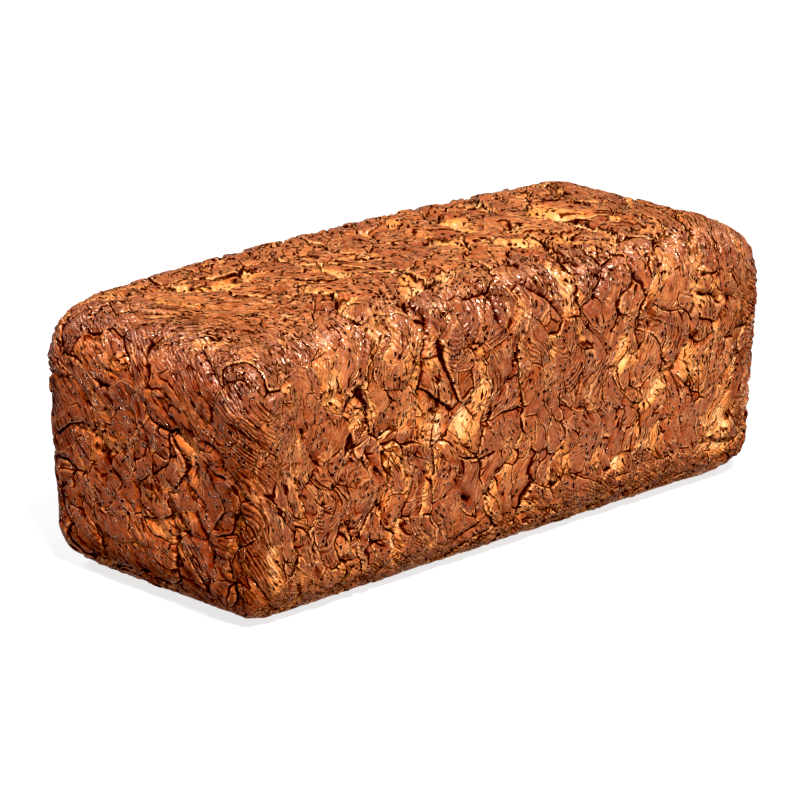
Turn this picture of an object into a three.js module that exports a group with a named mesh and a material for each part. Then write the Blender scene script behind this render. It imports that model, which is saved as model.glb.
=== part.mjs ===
import * as THREE from 'three';

// A loaf of laminated dough, baked in a lidded tin: straight sides that lean out a
// little to the rim, a flat top under the lid, wide rounded edges, and a crust of
// pressed dough plates with creases between them. Lengths are in millimetres, +Z is
// up, +X runs along the loaf, and the origin is the middle of the flat underside.

// The form the tin gives.
const LENGTH = 281;
const WIDTH = 120;
const HEIGHT = 110;
const TOP_EDGE_RADIUS = 24;
const BASE_EDGE_RADIUS = 18;
const TOP_CORNER_SQUARENESS = 4.0;
const BASE_CORNER_SQUARENESS = 3.0;
const SIDE_FLARE = 1.4;
const END_DROP = 4.3;
const BASE_RIM_ANGLE = THREE.MathUtils.degToRad(72);

// How finely the crust is faceted.
const LENGTH_STEPS = 60;
const WIDTH_STEPS = 25;
const HEIGHT_STEPS = 23;
const STEP_SIZE = 4.6;
const EDGE_ARC = Math.PI / 4;
const MEAN_EDGE_RADIUS = 21;

// The dough plates: their usual size along the loaf, across it and up it, and how the
// folding bends them.
const PLATE_SIZE = new THREE.Vector3(22, 23, 29);
const MEAN_PLATE_SIZE = (PLATE_SIZE.x + PLATE_SIZE.y + PLATE_SIZE.z) / 3;
const BROAD_FOLD_SWAY = 6.5;
const BROAD_FOLD_LENGTH = 74;
const BROAD_FOLD_START = new THREE.Vector3(0.4, 2.2, 4.1);
const TIGHT_FOLD_SWAY = 2.6;
const TIGHT_FOLD_LENGTH = 29;
const TIGHT_FOLD_START = new THREE.Vector3(1.9, 0.7, 3.3);
const END_TURN = THREE.MathUtils.degToRad(42);
const END_TURN_DEPTH = 46;
const SEED_SEARCH = 2;
const NEAR_SEEDS = 12;

// The relief of the crust, all of it cut inwards from the form of the tin. Plates of
// like chance have grown together and show only a faint crease.
const CREASE_DEPTH = 1.7;
const FAINT_CREASE_SHARE = 0.4;
const GROWN_TOGETHER = 0.08;
const WELL_APART = 0.35;
const CREASE_HALF_WIDTH = 3.2;
const PLATE_TILT = 0.6;
const LOW_PLATE_DEPTH = 0.9;
const LOW_PLATE_SHARE = 0.22;
const SNAP_REACH = 0.5 * STEP_SIZE;
const SLOPE_PROBE = 0.35;
const BASE_LIFT = 0.3;

// Open gashes where plates have pulled apart. Each runs through points on the crust.
const GASH_HALF_WIDTH = 3.4;
const GASHES = [
  { name: 'long gash over the top edge', depth: 3.2,
    path: [[-51, -44, 108], [-47, -53, 102], [-54, -60, 88], [-53, -60, 76]] },
  { name: 'short gash over the top edge', depth: 3.0,
    path: [[-18, -46, 108], [-13, -53, 103], [-12, -60, 91]] },
  { name: 'folded lip along the top edge', depth: 2.2,
    path: [[4, -52, 104], [14, -57, 98], [21, -60, 88]] },
  { name: 'lip on the top', depth: 1.8,
    path: [[-83, -31, 109], [-80, -44, 108]] },
  { name: 'pocket at the near corner', depth: 2.6,
    path: [[-120, -60, 78], [-112, -60, 72], [-106, -60, 58]] },
  { name: 'leaning crease low on the long side', depth: 2.0,
    path: [[-82, -60, 60], [-74, -59, 44], [-70, -59, 22]] },
  { name: 'hooked crease on the long side', depth: 1.8,
    path: [[-35, -59, 38], [-31, -59, 29], [-21, -59, 19]] },
  { name: 'overlap in the end face', depth: 2.6,
    path: [[-140, -13, 43], [-140, -19, 38]] },
  { name: 'crease down the end face', depth: 2.0,
    path: [[-139, -29, 41], [-138, -38, 29], [-137, -34, 12]] },
];

const ANY_WORD = 0xdeadbeef;
const WORD_RANGE = 0xffffffff;
const THREE_WORDS = 25;
const FOUR_WORDS = 29;
const wordView = new Uint32Array(1);
const floatView = new Float32Array(wordView.buffer);

function floatBits(value) {
  floatView[0] = value;
  return wordView[0];
}

function rotateBits(word, count) {
  return (word << count) | (word >>> (32 - count));
}

// Scrambles three words into one, so that each plate gets its own settled chance.
function scramble(first, second, third) {
  let a = first;
  let b = second;
  let c = third;
  c = ((c ^ b) - rotateBits(b, 14)) | 0;
  a = ((a ^ c) - rotateBits(c, 11)) | 0;
  b = ((b ^ a) - rotateBits(a, 25)) | 0;
  c = ((c ^ b) - rotateBits(b, 16)) | 0;
  a = ((a ^ c) - rotateBits(c, 4)) | 0;
  b = ((b ^ a) - rotateBits(a, 14)) | 0;
  c = ((c ^ b) - rotateBits(b, 24)) | 0;
  return (c >>> 0) / WORD_RANGE;
}

function scrambleWithTurn(x, y, z, turn) {
  const start = (ANY_WORD + FOUR_WORDS) | 0;
  let a = (start + x) | 0;
  let b = (start + y) | 0;
  let c = (start + z) | 0;
  a = ((a - c) ^ rotateBits(c, 4)) | 0;
  c = (c + b) | 0;
  b = ((b - a) ^ rotateBits(a, 6)) | 0;
  a = (a + c) | 0;
  c = ((c - b) ^ rotateBits(b, 8)) | 0;
  b = (b + a) | 0;
  a = ((a - c) ^ rotateBits(c, 16)) | 0;
  c = (c + b) | 0;
  b = ((b - a) ^ rotateBits(a, 19)) | 0;
  a = (a + c) | 0;
  c = ((c - b) ^ rotateBits(b, 4)) | 0;
  b = (b + a) | 0;
  return scramble((a + turn) | 0, b, c);
}

// Three chances between 0 and 1 that belong to one plate.
function plateChances(i, j, k) {
  const x = floatBits(i);
  const y = floatBits(j);
  const z = floatBits(k);
  const start = (ANY_WORD + THREE_WORDS) | 0;
  return new THREE.Vector3(
    scramble((start + x) | 0, (start + y) | 0, (start + z) | 0),
    scrambleWithTurn(x, y, z, floatBits(1)),
    scrambleWithTurn(x, y, z, floatBits(2)),
  );
}

function smoothStep(low, high, value) {
  return THREE.MathUtils.smoothstep(value, low, high);
}

// Carries a point of the crust into the space where the plates lie evenly: the folding
// sways it, and near the two ends it is turned so that the plates there lean.
function foldSpace(point) {
  const broad = (2 * Math.PI) / BROAD_FOLD_LENGTH;
  const tight = (2 * Math.PI) / TIGHT_FOLD_LENGTH;
  const swayed = new THREE.Vector3(
    point.x + BROAD_FOLD_SWAY * Math.sin(point.y * broad + BROAD_FOLD_START.x)
      + TIGHT_FOLD_SWAY * Math.sin(point.z * tight + TIGHT_FOLD_START.x),
    point.y + BROAD_FOLD_SWAY * Math.sin(point.z * broad + BROAD_FOLD_START.y)
      + TIGHT_FOLD_SWAY * Math.sin(point.x * tight + TIGHT_FOLD_START.y),
    point.z + BROAD_FOLD_SWAY * Math.sin(point.x * broad + BROAD_FOLD_START.z)
      + TIGHT_FOLD_SWAY * Math.sin(point.y * tight + TIGHT_FOLD_START.z),
  );
  const turnStart = LENGTH / 2 - END_TURN_DEPTH;
  const turn = END_TURN * smoothStep(turnStart, LENGTH / 2, Math.abs(point.x));
  const turned = new THREE.Vector3(
    swayed.x,
    swayed.y * Math.cos(turn) - swayed.z * Math.sin(turn),
    swayed.y * Math.sin(turn) + swayed.z * Math.cos(turn),
  );
  return turned.divide(PLATE_SIZE);
}

// Finds the plate a point lies on, how far its nearest edge is in plate sizes, and how
// much it has parted from its neighbour there.
function findPlate(spot) {
  const base = new THREE.Vector3(Math.floor(spot.x), Math.floor(spot.y), Math.floor(spot.z));
  const seeds = [];
  for (let i = -SEED_SEARCH; i <= SEED_SEARCH; i += 1) {
    for (let j = -SEED_SEARCH; j <= SEED_SEARCH; j += 1) {
      for (let k = -SEED_SEARCH; k <= SEED_SEARCH; k += 1) {
        const chances = plateChances(base.x + i, base.y + j, base.z + k);
        const seed = new THREE.Vector3(base.x + i, base.y + j, base.z + k).add(chances);
        seeds.push({ seed, chances, distance: seed.distanceTo(spot) });
      }
    }
  }
  seeds.sort((one, other) => one.distance - other.distance);
  const own = seeds[0];
  const unlike = Math.abs(seeds[1].chances.z - own.chances.z);
  const parting = THREE.MathUtils.lerp(
    FAINT_CREASE_SHARE,
    1,
    smoothStep(GROWN_TOGETHER, WELL_APART, unlike),
  );
  let edge = Infinity;
  for (const next of seeds.slice(1, NEAR_SEEDS)) {
    const middle = own.seed.clone().add(next.seed).multiplyScalar(0.5);
    const across = next.seed.clone().sub(own.seed).normalize();
    edge = Math.min(edge, middle.sub(spot).dot(across));
  }
  return { seed: own.seed, chances: own.chances, edge, parting };
}

function edgeDistance(point) {
  return findPlate(foldSpace(point)).edge * MEAN_PLATE_SIZE;
}

function distanceToPath(point, path) {
  let nearest = Infinity;
  for (let leg = 1; leg < path.length; leg += 1) {
    const start = new THREE.Vector3(...path[leg - 1]);
    const end = new THREE.Vector3(...path[leg]);
    const spot = new THREE.Line3(start, end).closestPointToPoint(point, true, new THREE.Vector3());
    nearest = Math.min(nearest, spot.distanceTo(point));
  }
  return nearest;
}

function gashDistance(point) {
  return Math.min(...GASHES.map((gash) => distanceToPath(point, gash.path)));
}

// Slides a point along the crust until it lies on the nearest crease, if one is within
// reach, so that the facets meet along the crease line.
function slideToLine(point, outward, distanceTo) {
  const distance = distanceTo(point);
  if (distance > SNAP_REACH) {
    return point;
  }
  const slope = new THREE.Vector3();
  for (const axis of ['x', 'y', 'z']) {
    const ahead = point.clone();
    ahead[axis] += SLOPE_PROBE;
    const behind = point.clone();
    behind[axis] -= SLOPE_PROBE;
    slope[axis] = (distanceTo(ahead) - distanceTo(behind)) / (2 * SLOPE_PROBE);
  }
  slope.addScaledVector(outward, -slope.dot(outward));
  const steepness = slope.length();
  const slide = distance / steepness;
  if (!(slide < SNAP_REACH)) {
    return point;
  }
  return point.clone().addScaledVector(slope.normalize(), -slide);
}

// How deep the crust lies under the form of the tin at a point.
function reliefDepth(point) {
  const spot = foldSpace(point);
  const plate = findPlate(spot);
  const lean = spot.clone().sub(plate.seed);
  const tiltWay = plate.chances.clone().subScalar(0.5);
  const tilt = PLATE_TILT * Math.max(0, 2 * lean.dot(tiltWay));
  const low = plate.chances.x < LOW_PLATE_SHARE ? LOW_PLATE_DEPTH : 0;
  const creaseShare = 1 - smoothStep(0, CREASE_HALF_WIDTH, plate.edge * MEAN_PLATE_SIZE);
  let depth = Math.max(tilt + low, CREASE_DEPTH * plate.parting * creaseShare);
  for (const gash of GASHES) {
    const share = 1 - smoothStep(0, GASH_HALF_WIDTH, distanceToPath(point, gash.path));
    depth = Math.max(depth, gash.depth * share);
  }
  return depth;
}

// The smooth form of the tin: a core block with rounded edges laid round it. The share
// runs from -1 to 1 along the core's length and width; the way points out of the core.
function formPoint(lengthShare, widthShare, coreHeight, way) {
  const span = HEIGHT - TOP_EDGE_RADIUS - BASE_EDGE_RADIUS;
  const rise = smoothStep(0, 1, (coreHeight - BASE_EDGE_RADIUS) / span);
  const radius = THREE.MathUtils.lerp(BASE_EDGE_RADIUS, TOP_EDGE_RADIUS, rise);
  const power = THREE.MathUtils.lerp(BASE_CORNER_SQUARENESS, TOP_CORNER_SQUARENESS, rise);
  const flat = (Math.abs(way.x) ** power + Math.abs(way.y) ** power) ** (1 / power);
  const size = Math.hypot(flat, way.z);
  const reach = way.clone().multiplyScalar(radius / size);
  const outward = new THREE.Vector3(0, 0, way.z / size);
  if (flat > 0) {
    outward.x = (flat / size) * Math.sign(way.x) * (Math.abs(way.x) / flat) ** (power - 1);
    outward.y = (flat / size) * Math.sign(way.y) * (Math.abs(way.y) / flat) ** (power - 1);
  }
  const point = new THREE.Vector3(
    lengthShare * (LENGTH / 2 - radius) + reach.x,
    widthShare * (WIDTH / 2 - radius) + reach.y,
    coreHeight + reach.z,
  );
  const climb = point.z / HEIGHT;
  const flare = SIDE_FLARE * (2 * climb - 1) - SIDE_FLARE;
  const alongShare = point.x / (LENGTH / 2);
  point.x *= 1 + flare / (LENGTH / 2);
  point.y *= 1 + flare / (WIDTH / 2);
  point.z -= END_DROP * climb * alongShare ** 2;
  return { point, outward: outward.normalize() };
}

// Turns a step along one side of the block into a share of the core and an edge angle.
function sideStep(step, steps, coreHalf) {
  const half = coreHalf + EDGE_ARC * MEAN_EDGE_RADIUS;
  const place = ((2 * step) / steps - 1) * half;
  const past = Math.max(0, Math.abs(place) - coreHalf);
  return {
    share: THREE.MathUtils.clamp(place / coreHalf, -1, 1),
    angle: (Math.sign(place) * past) / MEAN_EDGE_RADIUS,
  };
}

// Turns a step up the block into a core height and an edge angle. The whole base edge
// belongs to the sides, and half of the top edge.
function heightStep(step) {
  const baseArc = BASE_RIM_ANGLE * BASE_EDGE_RADIUS;
  const topArc = EDGE_ARC * TOP_EDGE_RADIUS;
  const straight = HEIGHT - TOP_EDGE_RADIUS - BASE_EDGE_RADIUS;
  const place = (step / HEIGHT_STEPS) * (baseArc + straight + topArc);
  if (place < baseArc) {
    return { core: BASE_EDGE_RADIUS, angle: (place - baseArc) / BASE_EDGE_RADIUS };
  }
  if (place < baseArc + straight) {
    return { core: BASE_EDGE_RADIUS + place - baseArc, angle: 0 };
  }
  return {
    core: HEIGHT - TOP_EDGE_RADIUS,
    angle: (place - baseArc - straight) / TOP_EDGE_RADIUS,
  };
}

// The way out of the core for a point on one of the five creased faces.
function outwardWay(i, j, k) {
  const along = sideStep(i, LENGTH_STEPS, LENGTH / 2 - MEAN_EDGE_RADIUS);
  const across = sideStep(j, WIDTH_STEPS, WIDTH / 2 - MEAN_EDGE_RADIUS);
  const up = heightStep(k);
  const way = new THREE.Vector3(Math.tan(along.angle), Math.tan(across.angle), 0);
  if (k === HEIGHT_STEPS) {
    way.z = 1;
  } else if (i === 0 || i === LENGTH_STEPS) {
    way.x = i === 0 ? -1 : 1;
  } else {
    way.y = j === 0 ? -1 : 1;
  }
  if (up.angle < 0) {
    const flat = Math.hypot(way.x, way.y);
    way.multiplyScalar(Math.cos(up.angle) / flat);
    way.z = Math.sin(up.angle);
  } else if (k < HEIGHT_STEPS) {
    way.z = Math.tan(up.angle);
  }
  return { way, along, across, up };
}

function crustPoint(i, j, k) {
  const { way, along, across, up } = outwardWay(i, j, k);
  const { point, outward } = formPoint(along.share, across.share, up.core, way);
  if (k === 0) {
    point.z = 0;
    return { point, depth: 0 };
  }
  const lineDistance = gashDistance(point) < SNAP_REACH ? gashDistance : edgeDistance;
  const settled = slideToLine(point, outward, lineDistance);
  const depth = reliefDepth(settled);
  settled.addScaledVector(outward, -depth);
  settled.z = Math.max(settled.z, BASE_LIFT);
  return { point: settled, depth };
}

// Lays facets over the five creased faces and closes the underside with one flat fan.
// Where a crease crosses a patch cornerwise, the patch is split along it.
function crustGeometry() {
  const positions = [];
  const depths = [];
  const facets = [];
  const known = new Map();

  function corner(i, j, k) {
    const key = `${i},${j},${k}`;
    if (!known.has(key)) {
      const { point, depth } = crustPoint(i, j, k);
      known.set(key, depths.length);
      positions.push(...point.toArray());
      depths.push(depth);
    }
    return known.get(key);
  }

  function patch(columns, rows, at) {
    for (let column = 0; column < columns; column += 1) {
      for (let row = 0; row < rows; row += 1) {
        const a = at(column, row);
        const b = at(column + 1, row);
        const c = at(column + 1, row + 1);
        const d = at(column, row + 1);
        const depthAlong = Math.min(depths[a], depths[c]);
        const depthAcross = Math.min(depths[b], depths[d]);
        if (depthAlong > depthAcross) {
          facets.push(a, b, c, a, c, d);
        } else {
          facets.push(a, b, d, b, c, d);
        }
      }
    }
  }

  patch(LENGTH_STEPS, HEIGHT_STEPS, (s, t) => corner(s, 0, t));
  patch(LENGTH_STEPS, HEIGHT_STEPS, (s, t) => corner(LENGTH_STEPS - s, WIDTH_STEPS, t));
  patch(WIDTH_STEPS, HEIGHT_STEPS, (s, t) => corner(LENGTH_STEPS, s, t));
  patch(WIDTH_STEPS, HEIGHT_STEPS, (s, t) => corner(0, WIDTH_STEPS - s, t));
  patch(LENGTH_STEPS, WIDTH_STEPS, (s, t) => corner(s, t, HEIGHT_STEPS));

  const middle = depths.length;
  positions.push(0, 0, 0);
  const rim = [];
  for (let i = 0; i < LENGTH_STEPS; i += 1) rim.push(corner(i, 0, 0));
  for (let j = 0; j < WIDTH_STEPS; j += 1) rim.push(corner(LENGTH_STEPS, j, 0));
  for (let i = LENGTH_STEPS; i > 0; i -= 1) rim.push(corner(i, WIDTH_STEPS, 0));
  for (let j = WIDTH_STEPS; j > 0; j -= 1) rim.push(corner(0, j, 0));
  for (let n = 0; n < rim.length; n += 1) {
    facets.push(middle, rim[(n + 1) % rim.length], rim[n]);
  }

  const geometry = new THREE.BufferGeometry();
  geometry.setAttribute('position', new THREE.Float32BufferAttribute(positions, 3));
  geometry.setIndex(facets);
  geometry.computeBoundingBox();
  const centre = geometry.boundingBox.getCenter(new THREE.Vector3());
  geometry.translate(-centre.x, -centre.y, 0);
  geometry.computeVertexNormals();
  return geometry;
}

const crust = new THREE.MeshStandardMaterial({
  name: 'baked_crust',
  color: 0xa55f33,
  roughness: 0.55,
  metalness: 0,
});

const loaf = new THREE.Mesh(crustGeometry(), crust);
loaf.name = 'loaf';

const part = new THREE.Group();
part.name = 'tin_loaf';
part.add(loaf);

export default part;
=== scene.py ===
import math
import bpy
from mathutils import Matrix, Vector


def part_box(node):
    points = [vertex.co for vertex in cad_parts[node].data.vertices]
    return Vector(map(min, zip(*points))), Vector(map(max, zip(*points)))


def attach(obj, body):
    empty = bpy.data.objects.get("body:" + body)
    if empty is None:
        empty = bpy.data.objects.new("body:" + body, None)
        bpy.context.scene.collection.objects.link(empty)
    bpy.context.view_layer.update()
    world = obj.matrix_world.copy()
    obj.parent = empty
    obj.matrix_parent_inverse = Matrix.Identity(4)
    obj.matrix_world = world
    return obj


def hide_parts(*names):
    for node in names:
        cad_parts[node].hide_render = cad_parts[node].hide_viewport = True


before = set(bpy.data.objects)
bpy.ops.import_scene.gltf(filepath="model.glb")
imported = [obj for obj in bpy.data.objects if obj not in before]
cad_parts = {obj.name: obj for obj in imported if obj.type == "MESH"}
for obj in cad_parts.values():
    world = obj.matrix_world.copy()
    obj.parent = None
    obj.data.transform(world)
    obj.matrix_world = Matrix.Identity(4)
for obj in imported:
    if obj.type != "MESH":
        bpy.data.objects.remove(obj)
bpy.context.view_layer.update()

from types import SimpleNamespace

import bpy
from mathutils import Matrix, Vector


# The loaf.
# Laminated, egg-washed dough that rose in a lidded tin until it filled it. Its form is a
# tapered block with rounded edges and an even skin. The crust is then pressed into plates,
# flakes, creases and gashes, and baked brown where it touched the tin.
LOW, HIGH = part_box("loaf")
PRESS_ALLOWANCE = 0.0016
LENGTH = HIGH[0] - LOW[0] + PRESS_ALLOWANCE
WIDTH = HIGH[1] - LOW[1] + PRESS_ALLOWANCE
HEIGHT = HIGH[2] - LOW[2]
SIDE_FLARE = 0.0014
TOP_EDGE_RADIUS = 0.0240
BASE_EDGE_RADIUS = 0.0180
UPRIGHT_EDGE_RADIUS = 0.0130
EDGE_ROUNDING_STEPS = 10
SKIN_PITCH = 0.0010
SKIN_SMOOTHING = 0.5
SKIN_SMOOTHING_PASSES = 12
SKIN_TRIANGLES = 190000
LEVEL_FACE = 0.9


def deselect_all():
    if bpy.context.object and bpy.context.object.mode != "OBJECT":
        bpy.ops.object.mode_set(mode="OBJECT")
    bpy.ops.object.select_all(action="DESELECT")


def finish_with(piece, kind, **settings):
    """Adds one modifier to the piece, sets it up and applies it."""
    modifier = piece.modifiers.new(kind.title(), kind)
    for name, value in settings.items():
        setattr(modifier, name, value)
    bpy.context.view_layer.objects.active = piece
    bpy.ops.object.modifier_apply(modifier=modifier.name)


def flare(piece, facing, level, share):
    """Widens the block by this share of its flare, at its base (facing -1) or its top (1)."""
    bpy.ops.object.mode_set(mode="EDIT")
    bpy.ops.mesh.select_all(action="DESELECT")
    bpy.ops.object.mode_set(mode="OBJECT")
    for face in piece.data.polygons:
        face.select = face.normal.z * facing > LEVEL_FACE
    bpy.ops.object.mode_set(mode="EDIT")
    bpy.ops.transform.resize(
        value=(1 + share * SIDE_FLARE / LENGTH, 1 + share * SIDE_FLARE / WIDTH, 1),
        center_override=(0, 0, level),
    )
    bpy.ops.object.mode_set(mode="OBJECT")


deselect_all()
bpy.ops.mesh.primitive_cube_add(size=1, location=(0, 0, HEIGHT / 2))
crust = bpy.context.object
crust.name = "crust"
crust.scale = (LENGTH - 2 * SIDE_FLARE, WIDTH - 2 * SIDE_FLARE, HEIGHT)
bpy.ops.object.transform_apply(location=True, rotation=False, scale=True)
flare(crust, -1, 0, -2)
flare(crust, 1, HEIGHT, 2)

edge_weights = crust.data.attributes.new("bevel_weight_edge", "FLOAT", "EDGE")
for edge in crust.data.edges:
    ends = [crust.data.vertices[index].co for index in edge.vertices]
    if min(end.z for end in ends) > HEIGHT / 2:
        radius = TOP_EDGE_RADIUS
    elif max(end.z for end in ends) < HEIGHT / 2:
        radius = BASE_EDGE_RADIUS
    else:
        radius = UPRIGHT_EDGE_RADIUS
    edge_weights.data[edge.index].value = radius / TOP_EDGE_RADIUS
finish_with(
    crust, "BEVEL",
    limit_method="WEIGHT", width=TOP_EDGE_RADIUS, segments=EDGE_ROUNDING_STEPS,
)
finish_with(crust, "REMESH", mode="VOXEL", voxel_size=SKIN_PITCH)
finish_with(crust, "SMOOTH", factor=SKIN_SMOOTHING, iterations=SKIN_SMOOTHING_PASSES)

# The loaf's relief, in mm: folded dough plates that overlap with dark creases between them,
# smaller flakes on the plates, low golden hollows that never touched the tin, and gashes
# where the plates pulled apart as the loaf rose.
MM = 1000
PLATE_SIZE = (22, 23, 29)
MEAN_PLATE_SIZE = sum(PLATE_SIZE) / 3
PLATE_TILT = 0.8
BROAD_FOLD_SWAY, BROAD_FOLD_LENGTH, BROAD_FOLD_START = 6.5, 74, (0.4, 2.2, 4.1)
TIGHT_FOLD_SWAY, TIGHT_FOLD_LENGTH, TIGHT_FOLD_START = 2.6, 29, (1.9, 0.7, 3.3)
RAGGED_FOLD_SWAY, RAGGED_FOLD_LENGTH = 5.5, 10.0
END_TURN = math.radians(42)
END_TURN_DEPTH = 46
END_DROP = 4.3
ROUNDING_REACH = (8.0, 28.0)
END_REACH = (2.0, 16.0)
LID_REACH = (9.0, 2.0)
CREASE_DEPTH = 1.5
CREASE_SHOULDER, CREASE_GAPE = 2.6, 0.9
HOLLOW_DEPTH = 1.3
FLAKE_SIZE = (8.5, 9.0, 17.0)
MEAN_FLAKE_SIZE = 9.5
FLAKE_STEP = 1.0
FLAKE_TILT = 1.0
FLAKE_CREASE_DEPTH = 0.6
FLAKE_CREASE_SHOULDER, FLAKE_CREASE_GAPE = 1.9, 0.8
SLANT_WAY = (-0.67, 0.67, -0.74)
SLANT_SWAY, SLANT_LONG_SWAY, UPRIGHT_EXTRA_SWAY = 3.0, 10.0, 14.0
SLANT_RIDGE_PITCH = 3.6
SLANT_RIDGE_DEPTH = 0.7
QUIET_SPOT = (-39.2, -55.4, 99.5)
QUIET_REACH, QUIET_SHIFT = (6.0, 9.0), 4.0
GASH_DEPTH, GASH_REACH = 3.2, (0.2, 1.8)
CRACK_DEPTH, CRACK_REACH = 1.4, (0.1, 1.2)
MARK_WANDER, MARK_WANDER_LENGTH = 5.0, 6.0
CRUST_SETTLE = 0.3
HIGHEST_CRUST = 0.2
FLAT_BASE_HEIGHT = 3.0
TOP_EXTRA_DEPTH = 0.5
GASHES = {
    "long gash over the top edge": [(-51, -44, 108), (-47, -53, 102), (-54, -60, 88), (-53, -60, 76)],
    "short gash over the top edge": [(-18, -46, 108), (-13, -53, 103), (-12, -60, 91)],
    "folded lip along the top edge": [(4, -52, 104), (14, -57, 98), (21, -60, 88)],
    "lip on the top": [(-83, -31, 109), (-80, -44, 108)],
    "pocket at the near corner": [(-120, -60, 78), (-112, -60, 72), (-106, -60, 58)],
    "leaning crease low on the side": [(-82, -60, 60), (-74, -59, 44), (-70, -59, 22)],
    "hooked crease on the side": [(-35, -59, 38), (-31, -59, 29), (-21, -59, 19)],
    "overlap in the end face": [(-140, -13, 43), (-140, -19, 38)],
    "crease down the end face": [(-139, -29, 41), (-138, -38, 29), (-137, -34, 12)],
}
CRACKS = {
    "down from the top edge": [(2, -49, 106), (-5, -57, 96), (-7, -59, 87), (-5, -59, 74), (-15, -59, 64)],
    "below the pocket": [(-108, -59, 63), (-106, -59, 58), (-112, -59, 51), (-114, -58, 45), (-107, -58, 40)],
    "round the low plate": [(-89, -59, 58), (-97, -58, 47), (-89, -58, 29), (-71, -58, 19)],
    "beside the big plate": [(-60, -59, 65), (-54, -58, 45), (-47, -58, 39)],
    "under the big plate": [(-54, -58, 41), (-56, -58, 28)],
    "low down the side": [(-14, -58, 36), (-9, -58, 18), (-5, -56, 11)],
    "left of the long gash": [(-89, -53, 101), (-96, -59, 85), (-90, -59, 68)],
    "along the top": [(69, -25, 109), (81, -34, 109), (88, -33, 108)],
    "first nick at the top edge": [(42, -54, 101), (38, -59, 92)],
    "second nick at the top edge": [(22, -59, 92), (21, -59, 77)],
    "far split at the top edge": [(65, -54, 101), (66, -59, 88), (68, -59, 76)],
    "hook at the far end": [(110, -59, 84), (115, -59, 77), (109, -59, 71)],
    "pocket half way along": [(19, -59, 53), (34, -58, 50), (39, -58, 44)],
    "right of the pocket": [(56, -58, 49), (49, -58, 36), (48, -58, 30)],
    "far down the side": [(88, -59, 60), (86, -58, 44), (91, -58, 26)],
    "over the end edge": [(-136, -17, 96), (-140, -19, 87)],
    "high on the end": [(-140, -11, 80), (-140, -18, 74), (-140, -34, 70), (-139, -44, 67), (-139, -42, 61)],
    "middle of the end": [(-140, 1, 77), (-139, -4, 58)],
    "short one on the end": [(-139, -26, 51), (-139, -35, 44)],
    "far side of the end": [(-139, 23, 53), (-139, 11, 44)],
}
BARE_PATCHES = {
    "large pale patch": [(68, -59, 47), (78, -59, 54)],
    "on the far top edge": [(26, -57, 98), (31, -58, 93)],
    "speck under the top edge": [(14, -59, 81), (14, -59, 77)],
    "low on the far side": [(54, -58, 24), (54, -58, 19)],
    "low at the far end": [(115, -58, 26), (115, -58, 20)],
    "low in the middle": [(23, -58, 34), (23, -58, 28)],
    "half way up": [(53, -59, 72), (53, -59, 66)],
    "low at the near corner": [(-127, -58, 30), (-125, -58, 16)],
    "under the leaning crease": [(-67, -58, 25), (-66, -58, 12)],
    "left of the big plate": [(-45, -59, 62), (-45, -59, 55)],
    "near the corner": [(-96, -59, 88), (-96, -59, 82)],
    "below the long gash": [(-50, -59, 93), (-49, -59, 88)],
    "high on the end": [(-139, 5, 93), (-139, 12, 88)],
}


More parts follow.
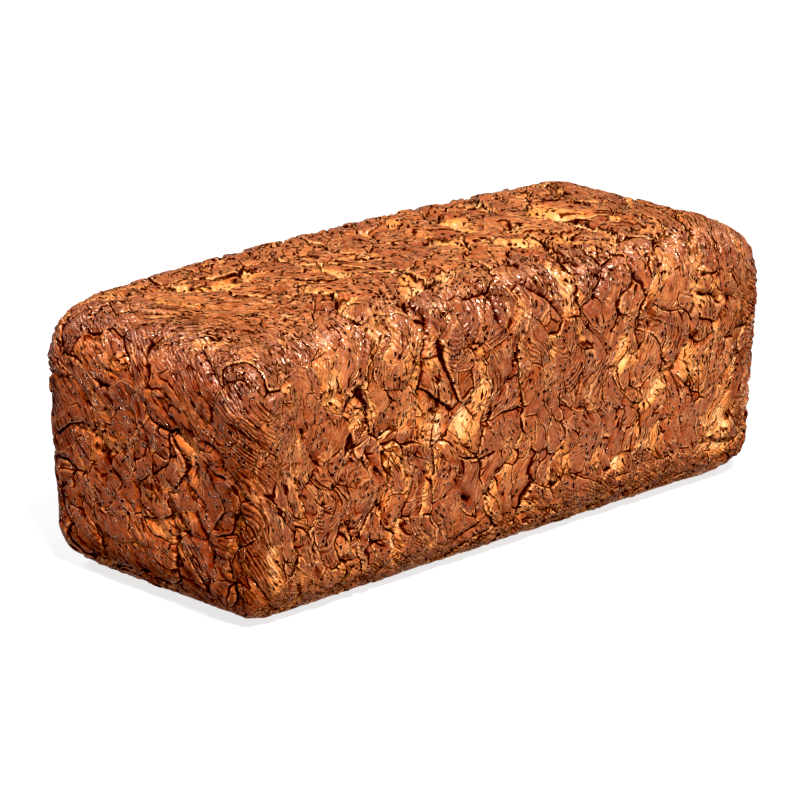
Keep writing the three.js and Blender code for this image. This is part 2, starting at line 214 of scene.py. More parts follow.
class Reading:
    """A number or direction that changes over the crust, worked out by nodes."""

    def __init__(self, socket):
        self.socket = socket
        self.tree = socket.id_data

    def node(self, kind, **settings):
        made = self.tree.nodes.new(kind)
        for name, value in settings.items():
            setattr(made, name, value)
        return made

    def plug(self, socket, value):
        if isinstance(value, Reading):
            self.tree.links.new(value.socket, socket)
        else:
            socket.default_value = value

    def math(self, operation, *others):
        made = self.node("ShaderNodeMath", operation=operation)
        for socket, value in zip(made.inputs, (self, *others)):
            self.plug(socket, value)
        return Reading(made.outputs[0])

    def vector(self, operation, *others):
        made = self.node("ShaderNodeVectorMath", operation=operation)
        for socket, value in zip(made.inputs, (self, *others)):
            if not isinstance(value, Reading) and not isinstance(value, tuple):
                value = (value, value, value)
            self.plug(socket, value)
        gives_number = operation in ("DOT_PRODUCT", "LENGTH", "DISTANCE")
        return Reading(made.outputs["Value" if gives_number else 0])

    def scaled(self, amount):
        made = self.node("ShaderNodeVectorMath", operation="SCALE")
        self.plug(made.inputs[0], self)
        self.plug(made.inputs["Scale"], amount)
        return Reading(made.outputs[0])

    def __add__(self, other):
        return self.math("ADD", other)

    def __sub__(self, other):
        return self.math("SUBTRACT", other)

    def __mul__(self, other):
        return self.math("MULTIPLY", other)

    def __neg__(self):
        return self.math("MULTIPLY", -1.0)

    def size(self):
        return self.math("ABSOLUTE")

    def at_least(self, other):
        return self.math("MAXIMUM", other)

    def at_most(self, other):
        return self.math("MINIMUM", other)

    def flipped(self):
        """One where this reading is nought, and nought where it is one."""
        made = self.node("ShaderNodeMath", operation="SUBTRACT")
        made.inputs[0].default_value = 1.0
        self.plug(made.inputs[1], self)
        return Reading(made.outputs[0])

    def weakening(self, share):
        """One, less this share where this reading is one."""
        return self * -share + 1.0

    def strengthening(self, share):
        """One, and this share more where this reading is one."""
        return self * share + 1.0

    def rise(self, start, end, low=0.0, high=1.0):
        """Goes smoothly from low to high as this reading goes from start to end."""
        made = self.node("ShaderNodeMapRange", interpolation_type="SMOOTHSTEP")
        limits = {"From Min": start, "From Max": end, "To Min": low, "To Max": high}
        self.plug(made.inputs["Value"], self)
        for name, value in limits.items():
            self.plug(made.inputs[name], value)
        return Reading(made.outputs[0])

    def fall(self, start, end, high=1.0):
        """Goes smoothly from high to nought as this reading goes from start to end."""
        return self.rise(start, end, high, 0.0)

    def parts(self):
        made = self.node("ShaderNodeSeparateXYZ")
        self.plug(made.inputs[0], self)
        return [Reading(output) for output in made.outputs]

    def reordered(self, first, second, third):
        split = self.parts()
        made = self.node("ShaderNodeCombineXYZ")
        for socket, index in zip(made.inputs, (first, second, third)):
            self.plug(socket, split[index])
        return Reading(made.outputs[0])

    def noise_node(self, size, detail=2.0, roughness=0.5, seed=0.0):
        made = self.node("ShaderNodeTexNoise", noise_dimensions="4D")
        settings = {"Vector": self, "W": seed, "Scale": 1.0 / size, "Detail": detail, "Roughness": roughness}
        for name, value in settings.items():
            self.plug(made.inputs[name], value)
        return made

    def noise(self, size, **settings):
        """Soft random lumps of about this size, from 0 to 1."""
        return Reading(self.noise_node(size, **settings).outputs[0])

    def random_way(self, size, sway, **settings):
        """A soft random direction that turns over about this size, and sways by this much."""
        made = self.noise_node(size, **settings)
        return Reading(made.outputs[1]).vector("SUBTRACT", 0.5).scaled(sway)

    def cells(self, feature):
        """Cells of size 1 round scattered seeds: the node's outputs by name."""
        made = self.node("ShaderNodeTexVoronoi", voronoi_dimensions="3D", feature=feature)
        self.plug(made.inputs["Vector"], self)
        self.plug(made.inputs["Scale"], 1.0)
        return {output.name: Reading(output) for output in made.outputs if output.enabled}


def fold_space(place):
    """Carries a place on the crust, in mm, to where the plates lie evenly."""
    broad = place.reordered(1, 2, 0).scaled(2 * math.pi / BROAD_FOLD_LENGTH)
    broad = broad.vector("ADD", BROAD_FOLD_START).vector("SINE").scaled(BROAD_FOLD_SWAY)
    tight = place.reordered(2, 0, 1).scaled(2 * math.pi / TIGHT_FOLD_LENGTH)
    tight = tight.vector("ADD", TIGHT_FOLD_START).vector("SINE").scaled(TIGHT_FOLD_SWAY)
    swayed = place.vector("ADD", broad).vector("ADD", tight)
    half_length = LENGTH * MM / 2
    from_middle = place.parts()[0].size()
    angle = from_middle.rise(half_length - END_TURN_DEPTH, half_length, 0.0, END_TURN)
    turn = place.node("ShaderNodeVectorRotate", rotation_type="X_AXIS")
    place.plug(turn.inputs["Vector"], swayed)
    place.plug(turn.inputs["Angle"], angle)
    return Reading(turn.outputs[0])


def read_faces(lie, place):
    """Which part of the tin this place lay against, and which way its layers slant."""
    x, y, z = place.parts()
    from_end = -x.size() + LENGTH * MM / 2
    from_side = -y.size() + WIDTH * MM / 2
    from_lid = -(z - HEIGHT * MM / 2).size() + HEIGHT * MM / 2
    furthest = from_end.at_least(from_side).at_least(from_lid)
    lie.rounded = (from_end + from_side + from_lid - furthest).fall(*ROUNDING_REACH)
    lie.on_end = from_end.fall(*END_REACH)
    lie.on_top = z.rise(HEIGHT * MM - LID_REACH[0], HEIGHT * MM - LID_REACH[1])
    lie.slanted = lie.rounded.at_least(lie.on_end * 0.8)
    lie.sway = place.noise(8.0, detail=2.0, seed=41.0)
    long_sway = place.noise(26.0, detail=1.0, seed=43.0)
    upright_edge = lie.rounded * z.fall(62.0, 86.0)
    lie.slant = place.vector("DOT_PRODUCT", SLANT_WAY) + lie.sway * SLANT_SWAY
    lie.slant = lie.slant + long_sway * (upright_edge * UPRIGHT_EXTRA_SWAY + SLANT_LONG_SWAY)


def read_plates(lie, place):
    """The large plates: which one this is, how far its edge is, and how it tilts."""
    ragged = place.random_way(RAGGED_FOLD_LENGTH, RAGGED_FOLD_SWAY, detail=1.5, roughness=0.4)
    lie.folded = fold_space(place).vector("ADD", ragged)
    spot = lie.folded.vector("DIVIDE", PLATE_SIZE)
    own = spot.cells("F1")
    other_one, other_two, other_three = spot.cells("F2")["Color"].parts()
    lie.chances = own["Color"]
    lie.own_one, lie.own_two, lie.own_three = lie.chances.parts()
    lie.to_edge = spot.cells("DISTANCE_TO_EDGE")["Distance"] * MEAN_PLATE_SIZE
    lie.to_edge = lie.to_edge + place.vector("DISTANCE", QUIET_SPOT).fall(*QUIET_REACH, QUIET_SHIFT)
    lie.over = (lie.own_two - other_two).rise(-0.10, 0.10)
    lie.parted = (lie.own_three - other_three).size().rise(0.03, 0.30, 0.20, 1.0)
    lie.parted = lie.parted * place.noise(13.0, detail=1.0, seed=31.0).rise(0.40, 0.55)
    lie.parted = lie.parted.at_least(lie.on_top * 0.28)
    lie.lean = spot.vector("SUBTRACT", own["Position"])
    tilt_way = lie.chances.vector("SUBTRACT", 0.5)
    lie.tilt = (lie.lean.vector("DOT_PRODUCT", tilt_way) * 2.0).at_least(0.0)


def read_flakes(lie, place):
    """The small flakes that lie on the plates, read in the same way."""
    spot = lie.folded.vector("DIVIDE", FLAKE_SIZE)
    own = spot.cells("F1")
    lie.flake_one, lie.flake_two, lie.flake_three = own["Color"].parts()
    next_one, next_two, next_three = spot.cells("F2")["Color"].parts()
    lie.flake_edge = spot.cells("DISTANCE_TO_EDGE")["Distance"] * MEAN_FLAKE_SIZE
    tilt_way = own["Color"].vector("SUBTRACT", 0.5)
    lie.flake_tilt = spot.vector("SUBTRACT", own["Position"]).vector("DOT_PRODUCT", tilt_way) * 2.0
    lie.flake_tilt = lie.flake_tilt.at_least(0.0) * lie.on_top.weakening(0.6)
    lie.flake_over = (lie.flake_two - next_two).rise(-0.08, 0.08)
    lie.flake_parted = (lie.flake_three - next_three).size().rise(0.04, 0.32, 0.20, 1.0)
    flake_patch = place.noise(9.0, detail=2.0, seed=37.0).rise(0.42, 0.52)
    lie.flake_parted = lie.flake_parted * flake_patch * lie.on_top.weakening(0.35)


def read_crust(place, to_bare):
    """The lie of the crust at a place, in mm: its faces, plates, flakes and hollows."""
    lie = SimpleNamespace()
    read_faces(lie, place)
    read_plates(lie, place)
    read_flakes(lie, place)
    rim = lie.to_edge.at_most(lie.flake_edge * 1.5 + lie.on_top * 1.5)
    lumps = place.noise(9.0, detail=4.0, roughness=0.6, seed=7.0)
    level = lie.tilt * (lie.on_top * -0.7 - 1.2) - lie.on_top * 0.12 - lie.flake_tilt * 0.7
    level = level + rim.rise(0.0, 1.2) * 0.22 + (lumps - 0.5) * 1.0
    level = level + 0.68 - lie.own_one.fall(0.0, 0.20, 0.15)
    level = level - lie.flake_one.fall(0.0, 0.22, 0.30) * lie.on_top.weakening(0.3)
    level = level - to_bare.fall(1.0, 7.0, 0.7)
    lie.pressed = level.rise(0.20, 0.42)
    lie.hollow = level.fall(-0.22, 0.20)
    return lie


group = bpy.data.node_groups.new("crust_relief", "GeometryNodeTree")
group.interface.new_socket("Geometry", in_out="INPUT", socket_type="NodeSocketGeometry")
group.interface.new_socket("Geometry", in_out="OUTPUT", socket_type="NodeSocketGeometry")
entry = group.nodes.new("NodeGroupInput")
leaving = group.nodes.new("NodeGroupOutput")


def move(geometry, offset):
    node = group.nodes.new("GeometryNodeSetPosition")
    group.links.new(geometry, node.inputs["Geometry"])
    group.links.new(offset.socket, node.inputs["Offset"])
    return node.outputs[0]


def keep(geometry, name, reading):
    """Stores this direction on every point of the skin, under this name."""
    node = group.nodes.new("GeometryNodeStoreNamedAttribute")
    node.data_type = "FLOAT_VECTOR"
    node.domain = "POINT"
    node.inputs["Name"].default_value = name
    group.links.new(geometry, node.inputs["Geometry"])
    group.links.new(reading.socket, node.inputs["Value"])
    return node.outputs[0]


def kept(name):
    """A direction that keep stored, in mm."""
    node = group.nodes.new("GeometryNodeInputNamedAttribute")
    node.data_type = "FLOAT_VECTOR"
    node.inputs["Name"].default_value = name
    return Reading(node.outputs[0]).scaled(MM)


def nearest_way(name, marks, sample):
    """The way from a sample place to the nearest of these marks drawn on the crust."""
    corners = []
    joins = []
    for path in marks.values():
        joins += [(len(corners) + step, len(corners) + step + 1) for step in range(len(path) - 1)]
        corners += [Vector(point) / MM for point in path]
    mesh = bpy.data.meshes.new(name)
    mesh.from_pydata(corners, joins, [])
    drawn = bpy.data.objects.new(name, mesh)
    bpy.context.scene.collection.objects.link(drawn)
    info = group.nodes.new("GeometryNodeObjectInfo")
    info.inputs["Object"].default_value = drawn
    near = group.nodes.new("GeometryNodeProximity")
    near.target_element = "EDGES"
    group.links.new(info.outputs["Geometry"], near.inputs[0])
    group.links.new(sample.socket, near.inputs["Source Position"])
    return drawn, Reading(near.outputs["Position"]).vector("SUBTRACT", sample)


# the top settles a little towards the ends
place = Reading(group.nodes.new("GeometryNodeInputPosition").outputs[0]).scaled(MM)
along, across, up = place.parts()
end_share = along.math("DIVIDE", LENGTH * MM / 2).math("POWER", 2.0)
drop = end_share * up.math("DIVIDE", HEIGHT * MM) * (-END_DROP / MM)
down = group.nodes.new("ShaderNodeCombineXYZ")
group.links.new(drop.socket, down.inputs["Z"])
settled = move(entry.outputs[0], Reading(down.outputs[0]))

# every point keeps its place before it is pressed, and its way to the nearest marks
form_place = Reading(group.nodes.new("GeometryNodeInputPosition").outputs[0])
settled = keep(settled, "form_place", form_place)
wander = form_place.scaled(MM).random_way(MARK_WANDER_LENGTH, MARK_WANDER / MM, detail=2.0, seed=11.0)
wandered = form_place.vector("ADD", wander)
drawn_gashes, gash_way = nearest_way("gashes", GASHES, wandered)
drawn_cracks, crack_way = nearest_way("cracks", CRACKS, wandered)
drawn_patches, bare_way = nearest_way("bare_patches", BARE_PATCHES, wandered)
settled = keep(settled, "gash_way", gash_way)
settled = keep(settled, "crack_way", crack_way)
settled = keep(settled, "bare_way", bare_way)

# how deep the crust is pressed in: tilted plates and hollows, then creases, flakes, lumps,
# ridges over the rounded edges, and last the gashes and cracks
place = kept("form_place")
to_gash = kept("gash_way").vector("LENGTH")
to_crack = kept("crack_way").vector("LENGTH")
lie = read_crust(place, kept("bare_way").vector("LENGTH"))
depth = lie.tilt * PLATE_TILT + lie.hollow * HOLLOW_DEPTH
shoulder = lie.to_edge.fall(0.0, CREASE_SHOULDER) * lie.over.flipped() * (lie.parted * 0.8 + 0.2)
depth = depth + shoulder * (CREASE_DEPTH * 0.6)
depth = depth + lie.to_edge.fall(0.0, CREASE_GAPE) * lie.parted * CREASE_DEPTH * 0.8
depth = depth - (lie.flake_one - 0.5) * FLAKE_STEP + lie.flake_tilt * FLAKE_TILT
tucked = lie.flake_edge.fall(0.0, FLAKE_CREASE_SHOULDER) * lie.flake_over.flipped() * lie.flake_parted
depth = depth + tucked * FLAKE_CREASE_DEPTH
flake_gap = lie.flake_edge.fall(0.0, FLAKE_CREASE_GAPE) * lie.flake_parted
depth = depth + flake_gap * (FLAKE_CREASE_DEPTH * 0.6)
lumpy = place.noise(3.5, detail=3.0, roughness=0.6, seed=5.0) - 0.5
depth = depth + lumpy * lie.pressed.rise(0.0, 1.0, 2.4, 0.9)
depth = depth * lie.on_top.strengthening(TOP_EXTRA_DEPTH)
slant_turn = lie.slant * (1 / SLANT_RIDGE_PITCH)
slant_gate = place.noise(12.0, detail=1.0, seed=slant_turn.math("FLOOR")).rise(0.34, 0.46)
slant_valley = (slant_turn.math("FRACT") - 0.5).size().rise(0.20, 0.5) * slant_gate
depth = depth + slant_valley * lie.rounded * SLANT_RIDGE_DEPTH
depth = depth + CRUST_SETTLE
depth = depth.at_least(to_gash.fall(*GASH_REACH, GASH_DEPTH))
depth = depth + to_crack.fall(*CRACK_REACH, CRACK_DEPTH)
depth = depth.at_least(-HIGHEST_CRUST)
sink = depth * place.parts()[2].rise(0.0, FLAT_BASE_HEIGHT) * (-1 / MM)
normal = Reading(group.nodes.new("GeometryNodeInputNormal").outputs[0])
settled = move(settled, normal.scaled(sink))
group.links.new(settled, leaving.inputs[0])

modifier = crust.modifiers.new("Relief", "NODES")
modifier.node_group = group
deselect_all()
crust.select_set(True)
bpy.context.view_layer.objects.active = crust
bpy.ops.object.modifier_apply(modifier=modifier.name)
for drawn in (drawn_gashes, drawn_cracks, drawn_patches):
    bpy.data.objects.remove(drawn)
triangles = 2 * len(crust.data.polygons)
finish_with(crust, "DECIMATE", ratio=min(1.0, SKIN_TRIANGLES / triangles))
bpy.ops.object.shade_smooth()

# The loaf's finish: brown plates where the dough touched the tin, gold in the hollows, gold rims
# with painted highlight, and painted red-brown and near-black shade in the creases and pinholes.
PLATE_DEEP = (0.225, 0.049, 0.014)
PLATE_MID = (0.390, 0.142, 0.054)
PLATE_SCORCHED = (0.235, 0.072, 0.032)
WARM_BROWN = (0.550, 0.208, 0.058)
GOLD = (0.730, 0.365, 0.146)
RIM_GOLD_AND_PAINTED_HIGHLIGHT = (0.770, 0.350, 0.120)
PALE_GOLD = (0.880, 0.555, 0.310)
PAINTED_SHADE_DARK = (0.020, 0.0015, 0.0003)
SHADE_RED = (0.60, 0.20, 0.08)
GRAIN_TINT = (0.68, 0.44, 0.30)
EDGE_TINT = (0.62, 0.48, 0.38)
UPRIGHT_BAKE_AND_PAINTED_SHADE = (0.52, 0.40, 0.30)
TOP_TINT = (0.94, 0.98, 0.97)
END_PAINTED_SHADE = (0.80, 0.60, 0.47)
GLAZE_TINT = (1.0, 0.86, 0.70, 1.0)
GLAZE_IOR = 1.8
ARC_PITCH = 1.6
ARC_BEND = 2.6
ARC_SWAY = 4.0
STROKE_LENGTH, UPRIGHT_STROKE_WIDTH, SLANT_STROKE_WIDTH = 8.0, 1.3, 1.4
SLIT_LENGTH, SLIT_WIDTH = 2.4, 1.1
SHARD_SIZE = (3.8, 4.0, 9.0)
MEAN_SHARD_SIZE = 4.2
PIN_SIZE = (1.7, 1.7, 2.9)
RELIEF_UNIT = 1.0 / MM
finish = bpy.data.materials.new("baked_crust")
finish.use_nodes = True
tree = finish.node_tree
shader = tree.nodes["Principled BSDF"]


def stored(name):
    """A direction stored on the crust, in mm."""
    node = tree.nodes.new("ShaderNodeAttribute")
    node.attribute_name = name
    return Reading(node.outputs["Vector"])


def blend(share, under_colour, over_colour, mode="MIX"):
    node = tree.nodes.new("ShaderNodeMix")
    node.data_type = "RGBA"
    node.blend_type = mode
    for name, value in (("Factor", share), ("A", under_colour), ("B", over_colour)):
        socket = next(s for s in node.inputs if s.name == name and s.enabled)
        if isinstance(value, Reading):
            tree.links.new(value.socket, socket)
        else:
            socket.default_value = (*value, 1.0) if isinstance(value, tuple) else value
    return Reading(next(s for s in node.outputs if s.enabled))


def layers(reach, pitch, gate_seed):
    """Ridges of layered dough along this reach: each one's height, painted shadow and painted highlight."""
    turn = reach * (1 / pitch)
    from_crest = (turn.math("FRACT") - 0.5).size()
    gate = lie.folded.noise(6.5, detail=1.0, seed=turn.math("FLOOR") + gate_seed).rise(0.42, 0.50)
    ridge = from_crest.fall(0.12, 0.5)
    shadow = from_crest.rise(0.36, 0.46)
    painted_brow = (turn.math("FRACT") - 0.36).size().fall(0.0, 0.16)
    return ridge * gate, shadow * gate, painted_brow * gate


place = stored("form_place").scaled(MM)
to_gash = stored("gash_way").vector("LENGTH") * MM
to_crack = stored("crack_way").vector("LENGTH") * MM
to_bare = stored("bare_way").vector("LENGTH") * MM
place_x, place_y, place_z = place.parts()
lie = read_crust(place, to_bare)
thick = lie.on_top * 0.8 + 1.0

# layers as arcs that bend round each plate's own centre
arc_centre = lie.chances.vector("SUBTRACT", 0.5).scaled(ARC_BEND)
arc = lie.lean.vector("ADD", arc_centre).vector("LENGTH") * MEAN_PLATE_SIZE + lie.sway * ARC_SWAY
arc_ridge, arc_shadow, arc_painted_highlight = layers(arc, ARC_PITCH, 0.0)
# layers pulled slantwise over the rounded edges and down the ends
slant_ridge, slant_shadow, slant_painted_highlight = layers(lie.slant, SLANT_RIDGE_PITCH / 2, 50.0)
layer_patch = place.noise(11.0, detail=2.0, seed=17.0).rise(0.46, 0.54) * lie.own_two.rise(0.35, 0.50)
arc_strength = (layer_patch * 0.7 + lie.pressed.flipped() * 0.5 + 0.22).at_most(1.0)
arc_strength = arc_strength * lie.slanted.weakening(0.8) * lie.on_top.weakening(0.4)
slant_strength = lie.slanted * (layer_patch * 0.5 + 0.5)
slant_strength = slant_strength * (lie.on_end * lie.rounded.flipped()).weakening(0.55)
ridge = arc_ridge * arc_strength + slant_ridge * slant_strength
layer_shadow = arc_shadow * arc_strength + slant_shadow * slant_strength
layer_painted_highlight = arc_painted_highlight * arc_strength + slant_painted_highlight * slant_strength

# long dark strokes: upright on the sides, slanting on the ends and over the edges
upright_reach = lie.folded.parts()[0] * (1 / UPRIGHT_STROKE_WIDTH)
upright_stroke = lie.folded.scaled(1 / STROKE_LENGTH).noise(1.0, detail=1.0, seed=upright_reach)
upright_stroke = upright_stroke.fall(0.30, 0.345) * lie.slanted.flipped() * lie.on_top.flipped()
slant_reach = lie.slant * (1 / SLANT_STROKE_WIDTH)
slant_stroke = place.scaled(1 / STROKE_LENGTH).noise(1.0, detail=1.0, seed=slant_reach)
slant_stroke = slant_stroke.fall(0.35, 0.39) * lie.slanted
stroke = upright_stroke + slant_stroke * (lie.on_end * 0.3 + 0.7)

# short slits between the flakes, lying along the layers
slit_reach = (arc * lie.slanted.flipped() + lie.slant * lie.slanted) * (1 / SLIT_WIDTH)
streak = lie.folded.scaled(1 / SLIT_LENGTH).noise(1.0, detail=0.6, seed=slit_reach)
slit = streak.fall(0.27, 0.31) * lie.on_top.weakening(0.8)

# shards, the smallest flakes, crowded together where the layers broke up
shard_spot = lie.folded.vector("DIVIDE", SHARD_SIZE)
shard_one, shard_two, shard_three = shard_spot.cells("F1")["Color"].parts()
shard_edge = shard_spot.cells("DISTANCE_TO_EDGE")["Distance"] * MEAN_SHARD_SIZE
shard_patch = place.noise(15.0, detail=2.0, seed=47.0).rise(0.54, 0.62) * 0.7
shard_patch = (shard_patch + lie.pressed.flipped() * 0.5).at_most(1.0)
shard_gape = place.noise(3.5, detail=1.0, seed=53.0).rise(0.46, 0.56)
shard_crease = shard_edge.math("DIVIDE", thick).fall(0.08, 0.28)
shard_crease = shard_crease * shard_gape * shard_patch * lie.on_top.weakening(0.6)

# pinholes where the dough blistered, each with a fine raised rim
pin = lie.folded.vector("DIVIDE", PIN_SIZE).cells("F1")
pin_one, pin_two, pin_three = pin["Color"].parts()
pin_patch = place.noise(10.0, detail=2.0, seed=19.0).rise(0.42, 0.47)
pin_there = pin_one.math("GREATER_THAN", 0.30) * pin_patch
pin_reach = pin_one.rise(0.30, 1.0, 0.20, 0.38) * lie.on_top.strengthening(0.35)
pinhole = (pin["Distance"] - pin_reach).fall(-0.07, 0.03) * pin_there
pin_rim = (pin["Distance"] - pin_reach).fall(0.02, 0.16) * pin_there

# the creases between plates and between flakes, and the lips beside them
crease_width = lie.parted * 0.20 + 0.03
beside_crease = lie.to_edge - crease_width
crease_there = lie.parted.rise(0.05, 0.35)
crease = (lie.to_edge.math("DIVIDE", thick) - crease_width).fall(-0.10, 0.20) * crease_there
crease_lip = beside_crease.rise(0.1, 0.3) * beside_crease.fall(0.5, 1.1) * (lie.over * 0.7 + 0.3)
flake_line = lie.flake_edge.math("DIVIDE", thick)
flake_crease = (flake_line - lie.flake_parted * 0.12).fall(-0.06, 0.17)
flake_crease = flake_crease * lie.flake_parted.rise(0.10, 0.60)
lip_patch = place.noise(6.0, detail=1.0, seed=67.0).rise(0.36, 0.60)
flake_lip = flake_line.rise(0.12, 0.30) * flake_line.fall(0.45, 0.95) * (lie.flake_over * 0.6 + 0.4)
flake_lip = flake_lip * lip_patch * lie.on_top.weakening(0.3)
# painted near-black shade down the gashes and cracks
gash_painted_shade = to_gash.fall(0.5, 1.1).at_least(to_crack.fall(0.2, 0.5))

# the fine relief on top of the mesh's own, in mm
fine = place.noise(2.6, detail=1.0, seed=23.0)
height = ridge * (lie.rounded * 0.45 + 0.50)
height = height - slit * 0.5
height = height - stroke * 0.9
height = height - pinhole * 0.9 + pin_rim * 0.35
height = height - crease * 0.8
height = height - flake_crease * 0.5
height = height + lie.flake_one * 0.6 + flake_lip * 0.35 + crease_lip * 0.30
height = height - shard_crease * 0.5
height = height + shard_one * shard_patch * 0.45
height = height + fine * 0.4
bump = tree.nodes.new("ShaderNodeBump")
bump.inputs["Strength"].default_value = 1.0
bump.inputs["Distance"].default_value = RELIEF_UNIT
tree.links.new(height.socket, bump.inputs["Height"])
tree.links.new(bump.outputs[0], shader.inputs["Normal"])

# brown plates, golden hollows, gold rims with painted highlight
mottle = place.noise(6.0, detail=3.0, roughness=0.55, seed=29.0).rise(0.36, 0.64)
plate_shade = mottle * 0.50 + lie.own_three * 0.32 + lie.flake_three * 0.42 - 0.06
plate_colour = blend(plate_shade, PLATE_DEEP, PLATE_MID)
scorched = (lie.own_one + lie.flake_two).rise(0.7, 1.3) * 0.75
plate_colour = blend(scorched, plate_colour, PLATE_SCORCHED)
low_colour = blend(lie.hollow * (mottle * 0.55 + lie.flake_two * 0.35), WARM_BROWN, GOLD)
bare_share = to_bare.fall(0.0, 5.0, 0.9) * mottle
pale_share = (mottle * lie.flake_two * (lie.on_top * 0.3 + 0.4)).at_least(bare_share)
low_colour = blend(lie.hollow * pale_share, low_colour, PALE_GOLD)
colour = blend(lie.pressed, low_colour, plate_colour)
# painted highlight beside each layer's painted shadow
colour = blend(layer_painted_highlight * 0.22, colour, GOLD)
# gold rims, partly the crust's own gold and partly painted highlight
colour = blend((flake_lip * 0.60).at_least(crease_lip * 0.60), colour, RIM_GOLD_AND_PAINTED_HIGHLIGHT)
colour = blend((shard_two - 0.5) * shard_patch * 0.8, colour, GOLD)
# painted highlight on the pinholes' raised rims
colour = blend(pin_rim * pin_two * 0.6, colour, GOLD)

# the ends darkened with painted shade, and the top paler
colour = blend(lie.on_end * 0.95, colour, END_PAINTED_SHADE, "MULTIPLY")
colour = blend(lie.on_top, colour, TOP_TINT, "MULTIPLY")
grain = place.noise(1.4, detail=1.5, seed=61.0).fall(0.36, 0.56)
colour = blend(grain * (lie.pressed * 0.40 + 0.15), colour, GRAIN_TINT, "MULTIPLY")
# painted red-brown shade beside the creases, cracks and gashes, on the under side of each overlap
crease_painted_shade = beside_crease.fall(0.2, 2.2) * crease_there * lie.over.flipped()
flake_painted_shade = lie.flake_edge.fall(0.2, 1.5) * lie.flake_over.flipped() * lie.flake_parted * 0.8
crease_painted_shade = crease_painted_shade.at_least(flake_painted_shade)
crease_painted_shade = crease_painted_shade.at_least(to_crack.fall(0.4, 2.0)).at_least(to_gash.fall(0.8, 3.0))
colour = blend(crease_painted_shade * 0.62, colour, SHADE_RED, "MULTIPLY")
# darker along the top edges, most of all at the ends
edge_shade = lie.rounded * place_z.rise(66.0, 98.0) * (lie.on_end * 0.6 + 0.4)
colour = blend(edge_shade, colour, EDGE_TINT, "MULTIPLY")
thin_shade = layer_shadow.at_least(slit).at_least(stroke)
thin_shade = thin_shade.at_least(flake_crease).at_least(shard_crease).at_least(pinhole)
colour = blend(thin_shade * 0.75, colour, SHADE_RED, "MULTIPLY")
# the ends' side of each upright edge darker: partly darker crust and partly painted shade
beside_end = (place_x.size() - place_y.size() - (LENGTH - WIDTH) * MM / 2).rise(-3.0, 5.0)
upright_shade = lie.rounded * beside_end * place_z.fall(58.0, 92.0)
colour = blend(upright_shade * 0.85, colour, UPRIGHT_BAKE_AND_PAINTED_SHADE, "MULTIPLY")

# painted near-black shade down the layers, strokes, creases, pinholes and gashes
colour = blend(layer_shadow * (lie.rounded * 0.50 + 0.30), colour, PAINTED_SHADE_DARK)
colour = blend((slit * 0.62).at_least(stroke * 0.76), colour, PAINTED_SHADE_DARK)
colour = blend((flake_crease * 0.80).at_least(shard_crease * 0.58), colour, PAINTED_SHADE_DARK)
colour = blend(crease * 0.95, colour, PAINTED_SHADE_DARK)
colour = blend(pinhole * 0.95, colour, PAINTED_SHADE_DARK)
colour = blend(gash_painted_shade * 0.97, colour, PAINTED_SHADE_DARK)
tree.links.new(colour.socket, shader.inputs["Base Color"])

# buttery gloss over the top edges and on the rims, none down in the dark
top_edge = lie.rounded * place_z.rise(78.0, 104.0)
rims = flake_lip.at_least(crease_lip)
roughness = fine.rise(0.3, 0.7, 0.36, 0.44) - top_edge * 0.22 - pin_rim * 0.16 - rims * 0.08
tree.links.new(roughness.socket, shader.inputs["Roughness"])
dark_places = crease + slit + stroke + pinhole + gash_painted_shade + layer_shadow + flake_crease + shard_crease
gloss = top_edge * (lie.on_end * 0.5 + 0.75) + fine.rise(0.45, 0.65) * 0.08
gloss = (gloss + pin_rim * 0.6 + rims * 0.3 + 0.02) * dark_places.at_most(1.0).flipped()
gloss = gloss * place_z.rise(2.0, 34.0, 0.15, 1.0)
tree.links.new(gloss.socket, shader.inputs["Specular IOR Level"])
shader.inputs["IOR"].default_value = GLAZE_IOR
shader.inputs["Specular Tint"].default_value = GLAZE_TINT
crust.data.materials.clear()
crust.data.materials.append(finish)
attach(crust, "root")
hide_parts("loaf")


# The table.
# A plain white sweep, laid flat under the loaf and lit enough to stay white.
TABLE_SIZE = 8
TABLE_GREY = (0.15, 0.15, 0.15, 1)
TABLE_GLOW = 0.80
TABLE_ROUGHNESS = 0.8
WHITE = (1, 1, 1, 1)
deselect_all()
bpy.ops.mesh.primitive_plane_add(size=TABLE_SIZE, location=(0, 0, 0))
floor = bpy.context.object
floor.name = "floor"
white = bpy.data.materials.new("white_table")
white.use_nodes = True
table_shader = white.node_tree.nodes["Principled BSDF"]
table_shader.inputs["Base Color"].default_value = TABLE_GREY
table_shader.inputs["Emission Color"].default_value = WHITE
table_shader.inputs["Emission Strength"].default_value = TABLE_GLOW
table_shader.inputs["Roughness"].default_value = TABLE_ROUGHNESS
floor.data.materials.append(white)


# The light.
# One soft key over the near long side, one overhead from the far side and a weak one from
# the right, in a dim white room.
ROOM_LIGHT = 0.18
LIGHT_DISTANCE = 2
world = bpy.data.worlds.new("studio")
world.use_nodes = True
world.node_tree.nodes["Background"].inputs["Color"].default_value = WHITE
world.node_tree.nodes["Background"].inputs["Strength"].default_value = ROOM_LIGHT
bpy.context.scene.world = world


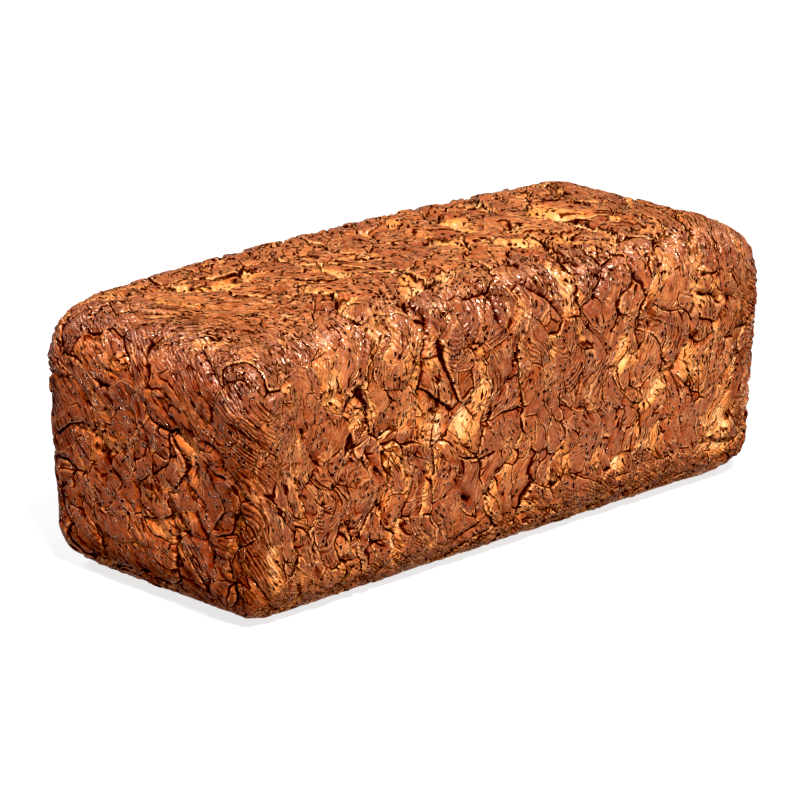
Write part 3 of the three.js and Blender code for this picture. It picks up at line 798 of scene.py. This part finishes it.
def soft_light(name, way, spread, strength):
    """A broad soft light that shines from that way, with that spread in degrees."""
    light = bpy.data.lights.new(name, "SUN")
    light.angle = math.radians(spread)
    light.energy = strength
    holder = bpy.data.objects.new(name, light)
    holder.location = Vector(way).normalized() * LIGHT_DISTANCE
    holder.rotation_euler = Vector(way).to_track_quat("Z", "Y").to_euler()
    bpy.context.scene.collection.objects.link(holder)


soft_light("key", way=(-0.28, -0.56, 0.78), spread=6, strength=7.3)
soft_light("overhead", way=(-0.34, 0.50, 0.79), spread=12, strength=2.45)
soft_light("side", way=(0.58, -0.18, 0.79), spread=14, strength=0.9)


# The camera.
# It looks down at the near corner. It was set from the loaf's outline with the loaf taken
# as 100 mm tall, so its sizes are scaled to the real loaf at the end.
VIEW_SCALE = 1.0802e-3
VIEW_AZIMUTH = math.radians(-44.13)
VIEW_ELEVATION = math.radians(17.32)
VIEW_DISTANCE = 1381.9
VIEW_SHIFT = (5.55, 5.99)
VIEW_CENTRE_HEIGHT = 50.0
FOCAL_PIXELS = 3875.8
IMAGE_PIXELS = 800
SENSOR_WIDTH = 36.0
PRINT_GAMMA = 0.88
BLACK_LEVEL = 0.012
back = Vector((
    math.sin(VIEW_AZIMUTH) * math.cos(VIEW_ELEVATION),
    -math.cos(VIEW_AZIMUTH) * math.cos(VIEW_ELEVATION),
    math.sin(VIEW_ELEVATION),
))
right = Vector((math.cos(VIEW_AZIMUTH), math.sin(VIEW_AZIMUTH), 0))
upward = back.cross(right)
eye = Vector((0, 0, VIEW_CENTRE_HEIGHT)) - VIEW_SHIFT[0] * right - VIEW_SHIFT[1] * upward
eye = (eye + VIEW_DISTANCE * back) * VIEW_SCALE
camera = bpy.data.objects.new("camera", bpy.data.cameras.new("camera"))
camera.data.sensor_width = SENSOR_WIDTH
camera.data.lens = FOCAL_PIXELS / IMAGE_PIXELS * SENSOR_WIDTH
camera.matrix_world = Matrix.Translation(eye) @ Matrix((right, upward, back)).transposed().to_4x4()
bpy.context.scene.collection.objects.link(camera)
bpy.context.scene.camera = camera
view = bpy.context.scene.view_settings
view.view_transform = "Standard"
view.gamma = PRINT_GAMMA
view.use_curve_mapping = True
view.curve_mapping.black_level = (BLACK_LEVEL, BLACK_LEVEL, BLACK_LEVEL)
view.curve_mapping.update()
